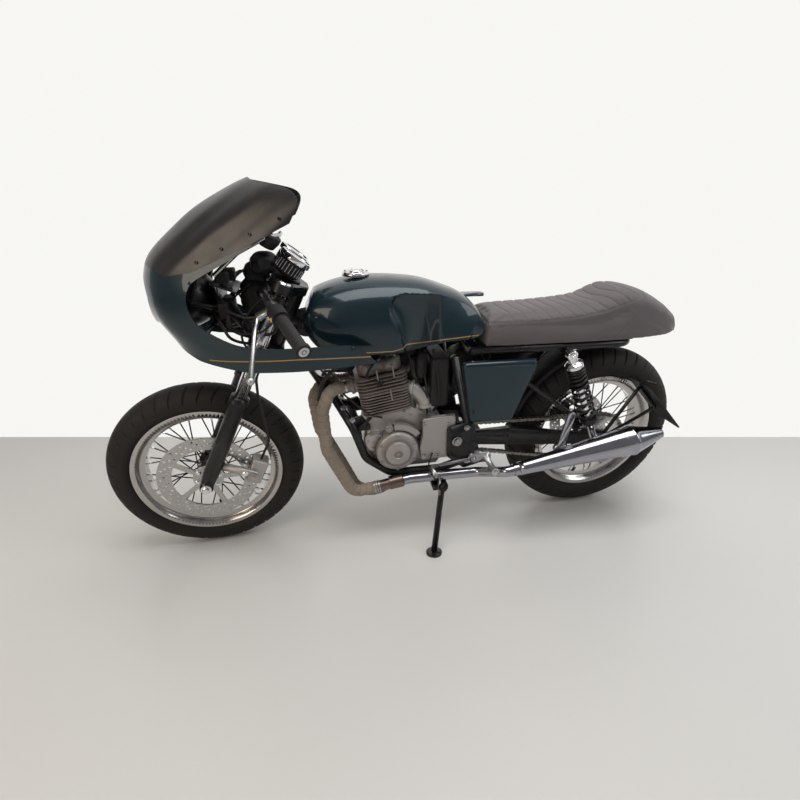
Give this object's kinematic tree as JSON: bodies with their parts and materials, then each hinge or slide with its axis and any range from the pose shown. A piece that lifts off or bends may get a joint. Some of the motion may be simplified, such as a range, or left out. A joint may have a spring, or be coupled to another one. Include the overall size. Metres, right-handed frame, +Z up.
{
  "type": "cafe racer motorcycle",
  "caption": "Single-cylinder cafe racer motorcycle with half fairing, wire wheels, ribbed humped seat and megaphone silencer, leaning on its side stand.",
  "frame": {"origin": "centre of the bounding box at floor level, with the machine leaning on its side stand", "axes": "+X rearward along the wheelbase, +Y to the rider's right, +Z up"},
  "size_m": [1.9841, 0.6736, 1.152],
  "materials": {
    "tyre_rubber": "matt",
    "rim_alloy": "polished",
    "hub_black": "satin",
    "disc_steel": "brushed",
    "frame_black": "satin",
    "chrome_tube": "polished",
    "control_alloy": "satin",
    "control_black": "matt",
    "caliper_black": "satin",
    "engine_alloy": "cast",
    "header_wrap": "woven heat wrap",
    "body_paint": "gloss",
    "cap_chrome": "polished",
    "seat_cover": "matt",
    "screen_black": "matt",
    "lamp_glass": "clear",
    "shock_steel": "satin",
    "chain_steel": "oiled",
    "plate_black": "gloss"
  },
  "bodies": {
    "chassis": {"frame_spine": "frame_black", "frame_cradle": "frame_black", "pivot_plates": "frame_black", "seat_rails": "frame_black", "crankcase": "engine_alloy", "cylinder_barrel": "engine_alloy", "cylinder_head": "engine_alloy", "generator_cover": "engine_alloy", "clutch_cover": "engine_alloy", "sprocket_cover": "engine_alloy", "carburettor": "engine_alloy", "air_box": "frame_black", "exhaust_headers": "header_wrap", "silencer": "chrome_tube", "tank": "body_paint", "fuel_cap": "cap_chrome", "seat": "seat_cover", "side_covers": "body_paint", "fairing": "body_paint", "screen": "screen_black", "headlamp": "lamp_glass", "swingarm": "frame_black", "shocks": "shock_steel", "chain": "chain_steel", "plate_carrier": "frame_black", "number_plate": "plate_black", "footrests": "control_alloy", "rear_caliper": "caliper_black", "horn": "chrome_tube"},
    "fork": {"fork_lowers": "frame_black", "stanchions": "chrome_tube", "yokes": "frame_black", "clip_ons": "control_alloy", "grips": "control_black", "switch_blocks": "control_black", "levers": "control_alloy", "gauges": "control_black", "front_caliper": "caliper_black", "brake_hose": "control_black"},
    "front_wheel": {"front_tyre": "tyre_rubber", "front_rim": "rim_alloy", "front_hub": "hub_black", "front_disc": "disc_steel"},
    "rear_wheel": {"rear_tyre": "tyre_rubber", "rear_rim": "rim_alloy", "rear_hub": "hub_black", "rear_disc": "disc_steel", "rear_sprocket": "disc_steel"},
    "stand": {"side_stand": "frame_black"}
  },
  "joints": [
    {"name": "steering", "type": "hinge", "parent": "chassis", "child": "fork", "pos_m": [-0.40053, 0.00368, 0.78146], "axis": [0.4377, -0.153, 0.886], "range_deg": [-32.6, 23.4]},
    {"name": "front_wheel_spin", "type": "hinge", "parent": "fork", "child": "front_wheel", "pos_m": [-0.69175, 0.08374, 0.29581], "axis": [-0.0722, 0.9762, 0.2042], "continuous": true},
    {"name": "rear_wheel_spin", "type": "hinge", "parent": "chassis", "child": "rear_wheel", "pos_m": [0.6701, 0.08383, 0.31825], "axis": [-0.0001, 0.9854, 0.1702], "continuous": true},
    {"name": "side_stand_hinge", "type": "hinge", "parent": "chassis", "child": "stand", "pos_m": [0.06519, -0.0562, 0.20024], "axis": [-0.0003, -0.9385, 0.3453], "range_deg": [0, 96]}
  ]
}
